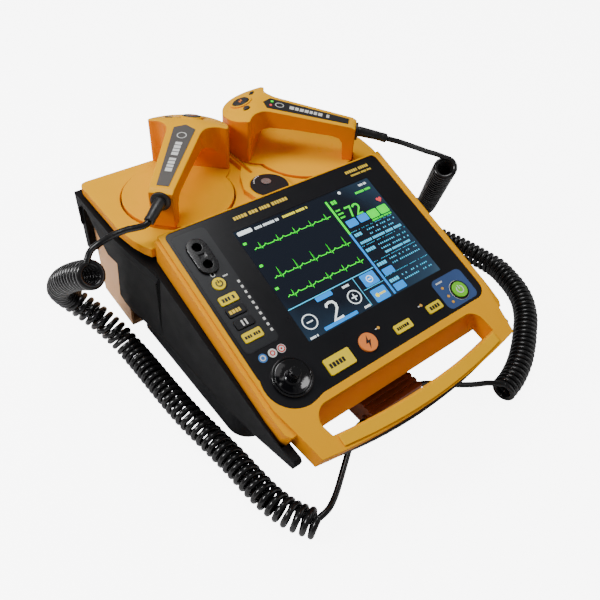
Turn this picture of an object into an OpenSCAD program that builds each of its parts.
// Portable monitor and defibrillator with a pair of corded hand paddles.
// Origin on the table under the middle of the object, +X to the user's right, -Y towards the user, +Z up.

/* [Body] */
// Half width of the rear casing
casing_half_w = 147; // [140:0.5:150]
// Half width over the side bumpers
bumper_half_w = 158; // [155:0.5:160]
// Front edge of the rear casing
rear_front_y = 116; // [112:1:120]
// Back of the rear casing
rear_y = 184; // [180:1:186]
// Back of the side bumpers
bumper_rear_y = 190.2; // [189:0.1:191]
// Half width of the lower tub
tub_half_w = 132; // [125:1:134]
// Front of the lower tub
tub_front_y = -80; // [-90:1:-60]
// Height at which the tub meets the upper chassis
tub_top_z = 63; // [58:0.5:66]
// Wall thickness of the mouldings
wall = 3; // [2:0.25:4]

/* [Front panel] */
// Slope of the front panel
panel_tilt = 20; // [15:1:25]
// Place of the panel's top edge, front to back
panel_y = 47.5; // [45:0.5:50]
// Height of the panel's top edge
panel_z = 183.2; // [180:0.1:186]
// Half width of the raised plate at its top edge
plate_half_w = 136; // [134:0.5:137]
// Distance down the slope to the upper rim of the handle opening
opening_top = 204; // [202:0.5:208]
// Depth of the frame skirts below the panel face
skirt = 26; // [22:1:28]
// Travel of the keys
key_travel = 1; // [0.5:0.1:1.2]

/* [Tray] */
// Height of the paddle tray
tray_z = 171; // [170:0.5:173]
// Radius of a paddle well
well_r = 57; // [56.5:0.1:58]
// Depth of a paddle well
well_depth = 16; // [14:0.5:18]

/* [Paddles] */
// Angle of a paddle's long axis from straight ahead
paddle_yaw = 44; // [40:1:48]
// Height of a paddle's flat top
paddle_top = 223.5; // [218:0.5:224]
// Radius of a paddle's round base
base_r = 55.5; // [54:0.1:56]
// Radius of the rear block
block_r = 42; // [42:0.5:44]

/* [Cords] */
// Outer diameter of the curly part
coil_d = 28; // [24:0.5:30]
// Diameter of the cable
cable_d = 6; // [5:0.5:6.5]

/* [Hidden] */

yellow = [1, 0.70, 0.02];
bright = [1, 0.82, 0.08];
black = [0.07, 0.07, 0.08];
dark = [0.16, 0.16, 0.17];
tan_c = [0.87, 0.70, 0.52];
steel = [0.75, 0.76, 0.78];

chassis_half_w = 138;
opening_left = 106;
opening_right = 102;
opening_r = 15;
grip_top_v = 238;
grip_front_v = 253;
arm_front_v = 240.4;
arm_half_w = 122.5;
tray_half_w = 153;
tray_rear_y = 180;
tray_front_y = 47.4;
land_z = 177;
well_floor = tray_z - well_depth;
base_top = 173;
paddle_x = 30.7;
paddle_y = 158.9;
base_along = 70;
block_along = 22;
handle_end = 121;
handle_drop = 11.5;
slope_start = 20;
knob_u = -104.2;
knob_v = 171.7;
lcd = [-71, 100, 25, 152];

// Routes of the cords, one point a line
lead_left = [
    [-140.1, 52.1, 197.3],
    [-144.5, 51.6, 195.9],
    [-150.5, 54.5, 194.3],
    [-159, 60, 191.6],
    [-170, 65, 187],
    [-182, 66, 183],
    [-192, 63, 181],
    [-199, 57, 176]];
coil_left = [
    [-199, 54, 164],
    [-202, 75, 149],
    [-205, 97, 131],
    [-207, 119, 110],
    [-207, 136, 88],
    [-200, 143, 68],
    [-190, 133, 54],
    [-180, 118, 42],
    [-171, 103, 27],
    [-166, 86, 17],
    [-164, 68, 14],
    [-163, 38, 14],
    [-162, 8, 14],
    [-160, -26, 14],
    [-156, -60, 14],
    [-152, -95, 14],
    [-150, -122, 14],
    [-147, -148, 14],
    [-140, -171, 14],
    [-129, -189, 14]];
tail_left = [
    [-127, -190, 25],
    [-116, -190, 28],
    [-103, -184, 30],
    [-88, -174, 32],
    [-72, -163, 35],
    [-57, -153, 38],
    [-45, -147, 40],
    [-36, -146, 41]];
lead_right = [
    [144, 45, 197],
    [157, 36, 193],
    [170, 31, 187],
    [184, 28, 180],
    [197, 27, 173],
    [209, 23, 168],
    [220, 15, 163]];
coil_right = [
    [216, 11, 153],
    [229, 23, 132],
    [242, 35, 110],
    [256, 48, 86],
    [270, 61, 62],
    [282, 74, 38],
    [290, 90, 21],
    [286, 107, 14],
    [271, 113, 14],
    [258, 102, 14],
    [256, 80, 14],
    [262, 54, 14],
    [271, 28, 14],
    [279, 0, 14],
    [284, -30, 14],
    [287, -58, 14],
    [282, -79, 14],
    [275, -98, 14],
    [263, -118, 14],
    [243, -138, 14],
    [226, -150, 14],
    [203, -165, 14],
    [177, -179, 14],
    [150, -189, 14],
    [130, -193, 14]];
tail_right = [
    [129, -193, 25],
    [121, -186, 25],
    [113, -180, 25],
    [100, -174, 26],
    [84, -166, 29],
    [68, -157, 33],
    [54, -150, 37],
    [44, -146.5, 40],
    [36, -146, 41]];

// Points of an arc about c
function arc(c, r, a0, a1, n = 8) = [for (i = [0:n]) let (a = a0 + (a1 - a0) * i / n)
    c + r * [cos(a), sin(a)]];

// Rounded rectangle from x0 to x1 and y0 to y1
function round_rect(x0, x1, y0, y1, r) = concat(
    arc([x1 - r, y1 - r], r, 0, 90, 6), arc([x0 + r, y1 - r], r, 90, 180, 6),
    arc([x0 + r, y0 + r], r, 180, 270, 6), arc([x1 - r, y0 + r], r, 270, 360, 6));

function unit(v) = v / norm(v);
function side_of(t) = unit(cross(t, abs(t[2]) > 0.9 ? [0, 1, 0] : [0, 0, 1]));

// A tube swept along the points p, with its radius going from r0 to r1
module tube(p, r0, r1, sides = 10) {
    m = len(p) - 1;
    rings = [for (i = [0:m]) let (
        t = unit(p[min(i + 1, m)] - p[max(i - 1, 0)]),
        s = side_of(t),
        q = cross(s, t),
        r = r0 + (r1 - r0) * i / m)
        for (k = [0:sides - 1]) p[i] + r * (cos(360 * k / sides) * s + sin(360 * k / sides) * q)];
    quads = [for (i = [0:m - 1]) for (k = [0:sides - 1]) let (j = (k + 1) % sides)
        [i * sides + k, i * sides + j, (i + 1) * sides + j, (i + 1) * sides + k]];
    ends = [[for (k = [sides - 1:-1:0]) k], [for (k = [0:sides - 1]) m * sides + k]];
    polyhedron(rings, concat(quads, ends));
}

// Frame of the front panel: x across, y up the slope from the top edge, z off the face
module on_panel() translate([0, panel_y, panel_z]) rotate([panel_tilt, 0, 0]) children();

// A prism on the panel between two heights
module panel_prism(points, h0, h1) translate([0, 0, h0]) linear_extrude(h1 - h0) polygon(points);

// Frame of a paddle: x along the handle, origin under the discharge button; side -1 left, 1 right
module on_paddle(side) mirror([side > 0 ? 1 : 0, 0, 0])
    translate([-paddle_x, paddle_y, 0]) rotate([0, 0, 270 - paddle_yaw]) children();

// ---- body -------------------------------------------------------------------------------------

function tub_outline(g) = concat(
    [[tub_half_w - g, rear_front_y - 1 - g], [-tub_half_w + g, rear_front_y - 1 - g]],
    arc([-tub_half_w + 24, tub_front_y + 24], 24 - g, 180, 270),
    arc([tub_half_w - 24, tub_front_y + 24], 24 - g, 270, 360));

module lower_casing() {
    color(dark) difference() {
        translate([0, 0, 3]) linear_extrude(tub_top_z - 3) polygon(tub_outline(0));
        translate([0, 0, 3 + wall]) linear_extrude(tub_top_z) polygon(tub_outline(wall));
        // foot recesses
        for (x = [-104, 104]) for (y = [-48, 92]) translate([x, y, 2]) cylinder(h = 2.2, r = 9, $fn = 48);
    }
}

rear_profile = [[rear_front_y, 15], [rear_y, 20], [rear_y, 164], [rear_front_y, 164]];

module rear_casing() {
    in_w = casing_half_w - wall;
    color(tan_c) hinge_lugs();
    color(tan_c) difference() {
        rotate([90, 0, 90]) translate([0, 0, -casing_half_w]) linear_extrude(2 * casing_half_w)
            polygon(rear_profile);
        translate([-in_w, rear_front_y - 1, 15 + 2 * wall])
            cube([2 * in_w, rear_y - rear_front_y - wall + 1, 150]);
        // battery opening and its rebate
        translate([-84, rear_y - 10, 40]) cube([148, 20, 76]);
        translate([-88, rear_y - 2.5, 36]) cube([156, 10, 84]);
        // mains inlet opening
        translate([96, rear_y - 10, 46]) cube([30, 20, 24]);
        // cooling slots
        for (i = [0:8]) translate([-60 + 15 * i - 5, rear_y - 10, 132]) cube([10, 20, 3]);
        for (i = [0:8]) translate([-60 + 15 * i - 5, rear_y - 10, 140]) cube([10, 20, 3]);
    }
}

chassis_profile = [[rear_front_y - 1, tub_top_z], [rear_front_y - 1, 151.5], [42, 151.5],
    [-138, 86], [-138, 76], [-62, tub_top_z]];
chassis_hollow = [[rear_front_y + 5, tub_top_z + wall], [rear_front_y + 5, 170], [42, 170],
    [-138 + wall, 96], [-138 + wall, 78.5], [-61, tub_top_z + wall]];

module side_prism(points, half_w) rotate([90, 0, 90]) translate([0, 0, -half_w])
    linear_extrude(2 * half_w) polygon(points);

module chassis_plan(inset) linear_extrude(200) polygon(concat(
    [[138 - inset, 120 + inset], [138 - inset, 40], [131 - inset, -150]],
    [[-131 + inset, -150], [-138 + inset, 40], [-138 + inset, 120 + inset]]));

module upper_chassis() {
    color(black) difference() {
        intersection() {
            side_prism(chassis_profile, chassis_half_w);
            chassis_plan(0);
        }
        intersection() {
            side_prism(chassis_hollow, chassis_half_w - wall);
            chassis_plan(wall);
        }
        // well for what the tub holds
        translate([-tub_half_w + 12, -50, tub_top_z - 1]) cube([2 * tub_half_w - 24, 150, wall + 2]);
    }
}

// ---- tray -------------------------------------------------------------------------------------

function tray_outline(g) = concat(
    arc([tray_half_w - 8, tray_rear_y - 8], 8 - g / 2, 0, 90, 5),
    arc([-tray_half_w + 8, tray_rear_y - 8], 8 - g / 2, 90, 180, 5),
    [[-tray_half_w - 1 + g, 92], [-151 + g, 70], [-147 + g, 56], [-143 + g, tray_front_y + g],
     [143 - g, tray_front_y + g], [147 - g, 56], [151 - g, 70], [tray_half_w + 1 - g, 92]]);

function paddle_point(side, along, across) = let (a = 270 - paddle_yaw)
    [-side * (-paddle_x + along * cos(a) - across * sin(a)), paddle_y + along * sin(a) + across * cos(a)];

land = concat([[-22, 49], [22, 49], [24, 74], [13, 98], [2.9, 110]],
    [[2.9, 150], [-2.9, 150], [-2.9, 110], [-13, 98], [-24, 74]]);

module top_tray() {
    color(bright) difference() {
        union() {
            difference() {
                translate([0, 0, tray_z - 10]) linear_extrude(10) polygon(tray_outline(0));
                translate([0, 0, tray_z - 11]) linear_extrude(11 - wall) polygon(tray_outline(wall));
            }
            translate([0, 0, tray_z - 1]) linear_extrude(land_z - tray_z + 1) polygon(land);
        }
        for (side = [-1, 1]) {
            translate(concat(paddle_point(side, base_along, 0), [well_floor]))
                cylinder(h = 40, r = well_r, $fn = 96);
            // room for the top of the rear casing's side wall
            translate([side * (casing_half_w - wall / 2) - 1.6, 170, tray_z - 11]) cube([3.2, 20, 4]);
        }
        // slot down the middle of the land
        translate([-1.5, 95, land_z - 4]) cube([3, 52, 10]);
        // seat of the badge
        translate([2, 66, land_z - 1]) cylinder(h = 3, r = 19.9, $fn = 64);
    }
}

// Round cup under a hole of the tray, which a paddle sits in
module well(side) intersection() {
    translate(concat(paddle_point(side, base_along, 0), [well_floor - wall])) difference() {
        cylinder(h = tray_z - well_floor, r = well_r + wall - 0.6, $fn = 96);
        translate([0, 0, wall]) cylinder(h = 40, r = well_r, $fn = 96);
    }
    // clear of the tray's front skirt and of the bumpers
    translate([-chassis_half_w, tray_front_y + wall, 100]) cube([2 * chassis_half_w, 200, 100]);
}
module well_cups() {
    color(bright) {
        well(-1);
        well(1);
    }
}

module tray_badge() {
    color([0.3, 0.29, 0.3]) difference() {
        intersection() {
            translate([2, 66, land_z - 1]) cylinder(h = 1.4, r = 19.6, $fn = 64);
            translate([-30, panel_y + 1.5, 0]) cube([60, 60, 300]);
        }
        translate([2, 72, land_z]) cylinder(h = 3, r = 5.4, $fn = 32);
    }
    color(steel) translate([2, 72, land_z]) cylinder(h = 1.2, r = 5.3, $fn = 32);
}

// ---- side bumpers -----------------------------------------------------------------------------

cheek_profile = [[bumper_rear_y, 84], [bumper_rear_y, 156], [184, 160.6], [60, 156], [44, 155],
    [-150, 93], [-164, 92], [-166, 88], [-164, 81], [-56, 63], [108, 62], [118, 66], [110, 115],
    [131, 112], [144, 122], [172, 146], [178, 140],
    [180, 96], [176, 86]];
rail_profile = [[bumper_rear_y, 120], [bumper_rear_y, 156], [184, 160.6], [60, 156], [44, 155],
    [30, 150], [34, 142], [60, 146], [170, 152], [180, 144], [182, 120]];

module bumper_plan(outer) linear_extrude(200) polygon(concat(
    [[casing_half_w + 0.2, 191], [casing_half_w + 0.2, rear_front_y - 0.2], [138.2, rear_front_y - 2]],
    [[138.2, 40], [131.2, -150], [131.2, -170], [139, -170]],
    outer));

module side_bumper(side) mirror([side > 0 ? 0 : 1, 0, 0]) {
    color(black) difference() {
        union() {
            intersection() {
                side_prism(cheek_profile, 170);
                bumper_plan([[142.5, -120], [147, 40], [151, 70], [154, 92], [155, 190], [150, 191]]);
            }
            intersection() {
                side_prism(rail_profile, 170);
                bumper_plan([[142.5, -120], [148, 30], [152.5, 52], [156, 74], [158, 96], [158, 184],
                    [153, 191]]);
            }
        }
        // the frame's skirt sits inside
        on_panel() translate([-300, -214.8, -skirt - 0.2]) cube([300 + 139.4, 400, 100]);
    }
}

// ---- front frame ------------------------------------------------------------------------------

function bow(u, mid, half, drop) = [u, -(mid - drop * pow(u / half, 2))];
function front_edge(half, mid, drop, n) = [for (i = [0:n]) bow(-half + 2 * half * i / n, mid, half, drop)];

plate_outline = concat([[plate_half_w, 0], [-plate_half_w, 0], [-plate_half_w + 1, -150],
    [-plate_half_w + 1.5, -188], [-128, -216]],
    front_edge(arm_half_w, grip_front_v, grip_front_v - arm_front_v - 2, 14),
    [[128, -216], [plate_half_w - 1.5, -188], [plate_half_w - 1, -150]]);
shoulder_outline = [[139.2, 0], [-139.2, 0], [-138.5, -190], [-137, -209], [-133.5, -214.6], [133.5, -214.6],
    [137, -209], [138.5, -190]];
opening_outline = concat(
    arc([opening_right - opening_r, -opening_top - opening_r], opening_r, 0, 90, 8),
    arc([-opening_left + opening_r, -opening_top - opening_r], opening_r, 90, 180, 8),
    front_edge(103, grip_top_v, 7.5, 12));
overlay_outline = concat(
    arc([128 - 6, -4 - 6 + 2], 6, 0, 90, 5), arc([-131 + 6, -8], 6, 90, 180, 5),
    [[-131, -158]], arc([-103.5, -171], 28.5, 160, 285, 14), [[-88, -196.5]],
    arc([128 - 13, -183], 13, 270, 360, 6));
function inner_plate(g) = [[plate_half_w - g, -g - 3], [-plate_half_w + g, -g - 3], [-plate_half_w + g, -190],
    [-128 + g, -opening_top + 4], [128 - g, -opening_top + 4], [plate_half_w - g, -190]];

// Each key: node, u, v, width, height, corner radius, stand above the overlay
function key_rect(u, v, w, h, r) = round_rect(u - w / 2, u + w / 2, -v - h / 2, -v + h / 2, r);

key_shapes = [
    key_rect(-111.9, 66.8, 12.4, 12.4, 6.19),
    key_rect(-112.4, 83.5, 18, 9, 1.6),
    key_rect(-112.4, 96.3, 18, 9, 1.6),
    key_rect(-112.4, 109.3, 18, 9, 1.6),
    key_rect(-112.4, 122.9, 19, 9.4, 1.6),
    key_rect(-57.5, 180.5, 29, 16, 2.5),
    key_rect(9.4 + 10.3, 182.5, 20.6, 9.2, 1.8),
    key_rect(63.3, 181.5, 18.6, 9.2, 1.8)];
function grown(k, g) = let (xs = [for (p = k) p[0]], ys = [for (p = k) p[1]])
    round_rect(min(xs) - g, max(xs) + g, min(ys) - g, max(ys) + g, min(1.6 + g, (max(ys) - min(ys)) / 2));
shock = [-22.3, 178.7, 9.2];
main_power = [101.6, 179.3, 8.5];

module key_holes(g) {
    for (i = [1:7]) panel_prism(grown(key_shapes[i], g), -20, 20);
    translate([-111.9, -66.8, -20]) cylinder(h = 40, r = 6.2 + g, $fn = 48);
    translate([shock[0], -shock[1], -20]) cylinder(h = 40, r = shock[2] + g, $fn = 48);
    translate([main_power[0], -main_power[1], -20]) cylinder(h = 40, r = main_power[2] + g, $fn = 48);
}

module front_frame() {
    color(yellow) difference() {
        union() {
            on_panel() difference() {
                union() {
                    panel_prism(plate_outline, -22, 0);
                    panel_prism(shoulder_outline, -skirt, -3);
                }
                panel_prism(inner_plate(7), -40, -5);
                panel_prism(opening_outline, -60, 40);
                panel_prism(overlay_outline, -2, 5);
                translate([lcd[0] - 5, -lcd[3] - 5, -20])
                    cube([lcd[1] - lcd[0] + 10, lcd[3] - lcd[2] + 10, 40]);
                key_holes(0.6);
                translate([knob_u, -knob_v, -30]) cylinder(h = 40, r = 12, $fn = 48);
                translate([0, 0, -20]) linear_extrude(40) polygon(socket_outline(0.6));
                panel_prism(strip_outline(0.1), strip_low - 5, strip_high + 0.1);
            }
            // wall under the upper rim of the opening
            translate([-120, -143.8, 76]) cube([240, 3.5, 34]);
        }
        // the top edge is cut off upright where the tray begins
        translate([-200, tray_front_y - 0.4, 0]) cube([400, 100, 300]);
    }
}

// Outline of the strip that follows the bow of the grip
strip_high = -13.5;
strip_low = -25;
function strip_outline(g) = concat(
    front_edge(108 + g, grip_front_v + 2.6 + g, 11.5, 14),
    [for (i = [14:-1:0]) bow(-108 - g + 2 * (108 + g) * i / 14, grip_front_v - 5 - g, 108, 11.5)]);

module front_bumper_strip() {
    color(black) on_panel() difference() {
        panel_prism(strip_outline(0), strip_low, strip_high);
        // groove between the two ridges
        panel_prism(concat(front_edge(115, grip_front_v + 8, 13, 14),
            [for (i = [14:-1:0]) bow(-115 + 230 * i / 14, grip_front_v + 1.4, 108, 11.5)]), -20, -18.6);
    }
}

module grip_cover() {
    color([1, 0.77, 0.05]) on_panel() panel_prism(concat(
        front_edge(100, grip_front_v - 1.6, 8.6, 14),
        [for (i = [14:-1:0]) bow(-100 + 200 * i / 14, grip_top_v + 1.4, 103, 7.5)]), 0, 1.6);
}

// ---- panel ------------------------------------------------------------------------------------

function socket_outline(g) = concat(
    arc([-110.7, -27 + 0.2], 9.75 + g, 0, 180, 16), arc([-110.7, -45.8], 9.75 + g, 180, 360, 16));
leds = [[-3.6, 171.6], [51.5, 173.6], [85.8, 169.6], [85.8, 179.4], [86.2, 186.6]];
overlay_top = -0.6;
key_top = 0.9;
key_low = -4.2;
board_top = -7.9;

module panel_overlay() {
    color(black) on_panel() {
        difference() {
            panel_prism(overlay_outline, -2, overlay_top);
            panel_prism(round_rect(lcd[0], lcd[1], -lcd[3], -lcd[2], 1), -20, 20);
            key_holes(0.5);
            panel_prism(socket_outline(0.3), -20, 20);
            translate([knob_u, -knob_v, -20]) cylinder(h = 40, r = 12, $fn = 48);
            for (p = leds) translate([p[0], -p[1], -20]) cylinder(h = 40, r = 1.7, $fn = 24);
        }
        // ring round the main power key
        translate([main_power[0], -main_power[1], overlay_top]) difference() {
            cylinder(h = 1, r = main_power[2] + 2, $fn = 48);
            translate([0, 0, -1]) cylinder(h = 4, r = main_power[2] + 0.5, $fn = 48);
        }
    }
}

module pacer_plate() {
    color([0.27, 0.28, 0.29]) on_panel() difference() {
        panel_prism(round_rect(-127, -92, -136.5, -7.5, 5), overlay_top, overlay_top + 0.3);
        key_holes(0.5);
        panel_prism(socket_outline(0.3), -20, 20);
    }
}

module display_module() {
    color([0.35, 0.36, 0.38]) on_panel() difference() {
        panel_prism(round_rect(lcd[0] - 3, lcd[1] + 3, -lcd[3] - 3, -lcd[2] + 3, 2), -14, -2.05);
        panel_prism(round_rect(lcd[0] + 8, lcd[1] - 8, -lcd[3] + 8, -lcd[2] - 8, 2), -15, -12);
    }
}

module display_glass() {
    color([0.08, 0.2, 0.25]) on_panel()
        panel_prism(round_rect(lcd[0] + 0.3, lcd[1] - 0.3, -lcd[3] + 0.3, -lcd[2] - 0.3, 1), -2, -0.9);
}

module pacer_socket() {
    color(black) on_panel() difference() {
        panel_prism(socket_outline(0), -14, 2.4);
        for (v = [26.5, 45.8]) translate([-110.7, -v, -8]) cylinder(h = 20, r = 4.4, $fn = 32);
        translate([-113.7, -38.4, 1]) cube([6, 4, 3]);
    }
    color(steel) on_panel() for (v = [26.5, 45.8])
        translate([-110.7, -v, -8]) cylinder(h = 2, r = 2, $fn = 32);
}

module knob_bezel() {
    color(black) on_panel() translate([knob_u, -knob_v, overlay_top]) difference() {
        cylinder(h = 3, r = 18.4, $fn = 72);
        translate([0, 0, -1]) cylinder(h = 6, r = 16.4, $fn = 72);
    }
}

function lobed(r, a, k, n = 48) = [for (i = [0:n - 1]) let (t = 360 * i / n)
    (r + a * cos(k * t)) * [cos(t), sin(t)]];

module rotary_knob() {
    color([0.05, 0.05, 0.06]) on_panel() translate([knob_u, -knob_v, 0]) {
        rotate_extrude($fn = 72) polygon([[0, -0.3], [16, -0.3], [16, 2.6], [15, 3], [13.4, 2.2], [10, 0.9],
            [7, 0.7], [5.8, 1.6], [5.4, 6], [5.4, 11], [0, 11]]);
        translate([0, 0, 11]) linear_extrude(3) polygon(lobed(4.4, 0.5, 6));
        translate([0, 0, -16]) cylinder(h = 15.9, r = 3, $fn = 32);
    }
}

// Middle of a key's outline
function key_centre(i) = [for (k = [0:1]) let (v = [for (p = key_shapes[i]) p[k]]) (min(v) + max(v)) / 2];

module panel_key(i) on_panel() {
    if (i == 0) translate([-111.9, -66.8, key_low]) cylinder(h = key_top - key_low, r = 6.2, $fn = 48);
    if (i > 0) panel_prism(grown(key_shapes[i], 0), key_low, key_top);
    key_stem(key_centre(i));
}

module key_stem(c) translate([c[0], c[1], board_top + 2])
    cylinder(h = key_low - board_top - 2 + 0.1, r = 2, $fn = 24);

module round_key(k) on_panel() {
    translate([k[0], -k[1], key_low]) cylinder(h = key_top - key_low + 0.5, r = k[2], $fn = 64);
    key_stem([k[0], -k[1]]);
}

module pacer_power_button() color(bright) panel_key(0);
module pacer_mode_button() color(bright) panel_key(1);
module pacer_pulse_button() color(black) panel_key(2);
module pacer_pause_button() color(black) panel_key(3);
module pacer_emergency_button() color(bright) panel_key(4);
module charge_button() color(bright) panel_key(5);
module cancel_button() color(bright) panel_key(6);
module sync_button() color(bright) panel_key(7);
module shock_button() color([1, 0.45, 0.05]) round_key(shock);
module main_power_button() color([0.25, 0.75, 0.2]) round_key(main_power);

module indicator_leds() color([1, 0.7, 0.1]) on_panel()
    for (p = leds) translate([p[0], -p[1], -2]) cylinder(h = 1.7, r = 1.5, $fn = 24);

module power_badge() {
    color([0.12, 0.25, 0.42]) on_panel() difference() {
        panel_prism(round_rect(77, 119, -193, -158.5, 6), overlay_top, overlay_top + 0.25);
        translate([main_power[0], -main_power[1], -5]) cylinder(h = 10, r = main_power[2] + 2.2, $fn = 48);
        for (p = leds) translate([p[0], -p[1], -5]) cylinder(h = 10, r = 1.8, $fn = 24);
    }
}

module control_board() {
    color([0.1, 0.35, 0.2]) on_panel() difference() {
        union() {
            panel_prism([[-123, -12], [-80, -12], [-80, -159], [118, -159], [118, -195], [-120, -195]],
                board_top - 1.6, board_top);
            // switch under each key
            for (k = key_shapes)
                translate([(k[0][0] + k[12][0]) / 2 - 3, (k[0][1] + k[12][1]) / 2 - 3, board_top])
                    cube([6, 6, 0.8]);
            for (k = [shock, main_power]) translate([k[0] - 3, -k[1] - 3, board_top]) cube([6, 6, 0.8]);
            // bearing of the rotary encoder
            translate([knob_u, -knob_v, -17]) cylinder(h = 14, r = 7, $fn = 48);
        }
        translate([knob_u, -knob_v, -30]) cylinder(h = 40, r = 3.05, $fn = 32);
        panel_prism(socket_outline(0.5), -30, 20);
    }
}

// ---- under and inside -------------------------------------------------------------------------

module rubber_feet() color(black) for (x = [-104, 104]) for (y = [-48, 92])
    translate([x, y, 0]) cylinder(h = 4.1, r = 8.8, $fn = 48);

module casing_screws() color(steel) {
    for (x = [-130, 130]) for (z = [30, 150]) translate([x, rear_y, z]) rotate([-90, 0, 0]) screw_head();
    for (x = [-60, 60]) for (y = [-40, 80]) translate([x, y, 3]) rotate([180, 0, 0]) screw_head();
}
module screw_head() difference() {
    cylinder(h = 1.8, r = 3.4, $fn = 32);
    translate([-2.4, -0.4, 1]) cube([4.8, 0.8, 2]);
    translate([-0.4, -2.4, 1]) cube([0.8, 4.8, 2]);
}

socket_y = tub_front_y - 32;
plug_front_y = -154;

module connector_socket() {
    color(dark) difference() {
        translate([-36, socket_y, 27]) cube([72, tub_front_y - socket_y, 33]);
        translate([-30, socket_y - 1, 32]) cube([60, 23, 23]);
    }
    color(steel) for (i = [0:5]) translate([-22.5 + 9 * i, socket_y + 22.5, 43.5]) rotate([90, 0, 0])
        cylinder(h = 12, r = 1.5, $fn = 24);
}

module paddle_connector() {
    color([0.68, 0.3, 0.05]) difference() {
        union() {
            translate([-33, plug_front_y, 30]) cube([66, socket_y - plug_front_y - 0.3, 26]);
            translate([-29, socket_y - 1, 33]) cube([58, 19, 21]);
            // glands for the two cords
            for (side = [-1, 1]) translate([side * 34, -146, 41]) rotate([0, 90, 0])
                cylinder(h = 2, r = 5, center = true, $fn = 32);
        }
        // grip grooves over the top
        for (i = [0:4]) translate([-34, plug_front_y + 5 + 7 * i, 54]) cube([68, 2.6, 4]);
        for (i = [0:5]) translate([-22.5 + 9 * i, socket_y + 30, 43.5]) rotate([90, 0, 0])
            cylinder(h = 22, r = 1.9, $fn = 24);
    }
}

battery_x = [-80, 60];
module battery_pack() {
    color([0.2, 0.22, 0.24]) difference() {
        translate([battery_x[0], 134, 43]) cube([battery_x[1] - battery_x[0], 46, 70]);
        // pull strap notch
        translate([-20, 176, 72]) cube([20, 10, 12]);
    }
}

hinge = [-89.6, 186];
module battery_door() {
    color(tan_c) difference() {
        union() {
            translate([-87.6, rear_y - 2.3, 36.5]) cube([155.2, 2.8, 83]);
            translate([hinge[0], rear_y + 0.1, 53]) cube([4, 1.9, 50]);
            translate([hinge[0], hinge[1], 53]) cylinder(h = 50, r = 1.9, $fn = 32);
            // finger pull
            translate([58, rear_y, 66]) cube([6, 2.4, 24]);
        }
        translate([hinge[0], hinge[1], 40]) cylinder(h = 80, r = 1.06, $fn = 32);
    }
}

module hinge_lugs() {
    for (z = [44, 103.3]) {
        translate([hinge[0], hinge[1], z]) cylinder(h = 8.7, r = 2.2, $fn = 32);
        translate([hinge[0] - 2, rear_y - 0.5, z]) cube([3.2, 2.5, 8.7]);
    }
    translate([hinge[0], hinge[1], 44]) cylinder(h = 68, r = 1, $fn = 32);
}

module hv_capacitor() color([0.55, 0.57, 0.6]) translate([-100, 60, 34]) rotate([0, 90, 0])
    cylinder(h = 84, r = 24, $fn = 64);
module hv_module() color([0.3, 0.3, 0.33]) translate([12, -50, 8]) cube([100, 130, 46]);
module speaker() color(dark) translate([-60, -40, 30]) rotate([90, 0, 0]) {
    cylinder(h = 14, r = 16, $fn = 48);
    translate([0, 0, 14]) cylinder(h = 6, r = 24, $fn = 48);
}

module mains_inlet() {
    color(dark) difference() {
        union() {
            translate([96.3, 160, 46.3]) cube([29.4, rear_y - 160, 23.4]);
            translate([92, rear_y, 42]) cube([38, 2, 32]);
        }
        translate([99, rear_y - 16, 49.5]) cube([24, 30, 17]);
    }
    color(steel) for (x = [104, 111, 118]) translate([x - 1, rear_y - 16.5, 54]) cube([2, 13, 7]);
}

// ---- paddles ----------------------------------------------------------------------------------

face_along = 18;
collar_z = 202.5;
slope = atan(handle_drop / (handle_end - slope_start));
// The top of the block is crowned, and falls away behind a ridge
crown_r = 240;
ridge_along = 13;
head_tilt = 20;
half_plan = concat([[0, -42], [face_along - 4, -42]],
    [for (p = arc([face_along - 4, -38], 4, 270, 360, 4)) p],
    [for (p = arc([face_along + 20, -37], 20, 180, 90, 8)) p],
    [[handle_end - 1, -11.8], [126, -11.4]]);
handle_plan = concat(half_plan, [for (i = [len(half_plan) - 1:-1:0]) [half_plan[i][0], -half_plan[i][1]]]);
handle_side = [[10, paddle_top], [slope_start, paddle_top], [handle_end, paddle_top - handle_drop],
    [126, paddle_top - handle_drop - 2.4], [126, base_top], [115, base_top], [113, 193], [109.5, 197.6],
    [102, 200], [60, 203], [36, 203], [28, 201.5], [21.5, 197.5], [face_along, 190], [face_along, base_top],
    [10, base_top]];

label_outline = [[4, 0], [10, -10.8], [98, -5.6], [98, 5.6], [10, 10.8]];

// Frame of the handle's sloping top
module on_handle() translate([slope_start, 0, paddle_top]) rotate([0, slope, 0]) children();

// Frame of the block's sloping top, with its origin at the discharge button
module on_head() translate([0, 0, paddle_top - ridge_along * tan(head_tilt)]) rotate([0, -head_tilt, 0])
    children();

module crown_bar() translate([-150, 0, -crown_r]) rotate([0, 90, 0])
    cylinder(h = 400, r = crown_r, $fn = 360);

// Everything below the crowned top, let down by drop
module under_head(drop) translate([ridge_along, 0, paddle_top - drop]) intersection() {
    crown_bar();
    rotate([0, -head_tilt, 0]) crown_bar();
}

module rear_block(r, z0, z1, front) intersection() {
    translate([block_along, 0, z0]) cylinder(h = z1 - z0, r = r, $fn = 96);
    translate([-60, -60, z0]) cube([60 + front, 120, z1 - z0]);
}

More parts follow.
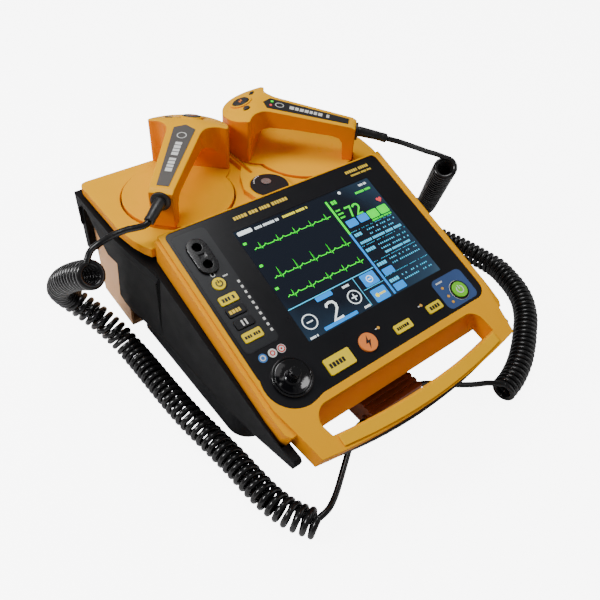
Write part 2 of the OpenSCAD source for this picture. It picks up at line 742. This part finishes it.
module paddle_shell(side) color(yellow) on_paddle(side) difference() {
    union() {
        intersection() {
            rear_block(block_r, base_top, paddle_top, face_along - 4);
            under_head(0);
        }
        intersection() {
            linear_extrude(300) polygon(handle_plan);
            rotate([90, 0, 0]) translate([0, 0, -60]) linear_extrude(120) polygon(handle_side);
            translate([block_along, 0, 0]) union() {
                cylinder(h = 300, r = block_r, $fn = 96);
                translate([0, -60, 0]) cube([200, 120, 300]);
            }
            under_head(0);
        }
        on_head() translate([0, 0, -3]) cylinder(h = 4.6, r = 12, $fn = 48);
    }
    // room inside the block
    intersection() {
        rear_block(block_r - 3, 0, paddle_top, face_along - 2);
        under_head(4);
    }
    on_head() translate([0, 0, -20]) cylinder(h = 40, r = 9.3, $fn = 48);
    // seats of the label and the small window
    on_handle() linear_extrude(6) polygon(label_outline);
    on_head() translate([4.8, -25.5, -1.6]) cube([4.4, 7.4, 6]);
    if (side > 0) on_head() translate([9.6, 15.9, -20]) cylinder(h = 40, r = 3.7, $fn = 32);
}

module paddle_base(side) color(yellow) on_paddle(side) difference() {
    union() {
        translate([base_along, 0, well_floor + 2])
            cylinder(h = base_top - well_floor - 2, r = base_r, $fn = 96);
        rear_block(block_r, tray_z + 0.3, base_top, 60);
    }
    translate([base_along, 0, 0]) cylinder(h = base_top - 3, r = base_r - 3.5, $fn = 96);
}

module electrode(side) color(steel) on_paddle(side) translate([base_along, 0, well_floor + 0.2]) {
    cylinder(h = 1.8, r = 46, $fn = 96);
    translate([0, 0, 1.8]) cylinder(h = 3, r = base_r - 3.6, $fn = 96);
}

module paddle_label(side) color([0.4, 0.39, 0.38]) on_paddle(side) {
    on_handle() linear_extrude(0.5) polygon(label_outline);
    // small window beside the discharge button
    on_head() translate([4.8, -25.5, -1.6]) cube([4.4, 7.4, 1.2]);
}

module discharge_button(side) color([0.12, 0.12, 0.13]) on_paddle(side) on_head() {
    translate([0, 0, -5]) cylinder(h = 7.4, r = 9, $fn = 48);
    translate([0, 0, -6.5]) cylinder(h = 1.6, r = 10.4, $fn = 48);
}

module right_charge_button() color([0.12, 0.12, 0.13]) on_paddle(1) on_head() translate([9.6, 15.9, 0]) {
    translate([0, 0, -5]) cylinder(h = 6.2, r = 3.4, $fn = 32);
    translate([0, 0, -6.5]) cylinder(h = 1.6, r = 4.2, $fn = 32);
}

module strain_relief(side, bend) color(black) {
    on_paddle(side) translate([126, 0, collar_z]) rotate([0, 90, 0]) cylinder(h = 6, r = 9.5, $fn = 48);
    tube(concat([concat(paddle_point(side, 131.6, 0), [collar_z])], bend), 5.8, 3.8, 12);
}

module left_paddle_shell() paddle_shell(-1);
module right_paddle_shell() paddle_shell(1);
module left_paddle_base() paddle_base(-1);
module right_paddle_base() paddle_base(1);
module left_electrode() electrode(-1);
module right_electrode() electrode(1);
module left_label() paddle_label(-1);
module right_label() paddle_label(1);
module left_discharge_button() discharge_button(-1);
module right_discharge_button() discharge_button(1);
module left_strain_relief()
    strain_relief(-1, [[-127.5, 60.2, 201.8], [-133.5, 56.2, 199.8], [-139.6, 52.3, 197.5]]);
module right_strain_relief() strain_relief(1, [[129, 58, 201], [136, 51.5, 199.5], [143.6, 45.2, 197.2]]);

// ---- cords ------------------------------------------------------------------------------------

module cord(p) color(black) tube(p, cable_d / 2, cable_d / 2, 10);
module curly(p) color(black) tube(p, coil_d / 2, coil_d / 2, 12);
module left_lead() cord(lead_left);
module left_coil() curly(coil_left);
module left_tail() cord(tail_left);
module right_lead() cord(lead_right);
module right_coil() curly(coil_right);
module right_tail() cord(tail_right);

lower_casing();
rear_casing();
upper_chassis();
top_tray();
side_bumper(-1);  // side_bumper_left
side_bumper(1);  // side_bumper_right
well_cups();
front_frame();
grip_cover();
front_bumper_strip();
panel_overlay();
pacer_plate();
display_module();
display_glass();
pacer_socket();
knob_bezel();
rotary_knob();
pacer_power_button();
pacer_mode_button();
pacer_pulse_button();
pacer_pause_button();
pacer_emergency_button();
charge_button();
shock_button();
cancel_button();
sync_button();
main_power_button();
indicator_leds();
power_badge();
tray_badge();
rubber_feet();
casing_screws();
connector_socket();
paddle_connector();
battery_pack();
battery_door();
control_board();
hv_capacitor();
hv_module();
mains_inlet();
speaker();
left_paddle_shell();
left_paddle_base();
left_electrode();
left_label();
left_discharge_button();
left_strain_relief();
left_lead();
left_coil();
left_tail();
right_paddle_shell();
right_paddle_base();
right_electrode();
right_label();
right_discharge_button();
right_charge_button();
right_strain_relief();
right_lead();
right_coil();
right_tail();
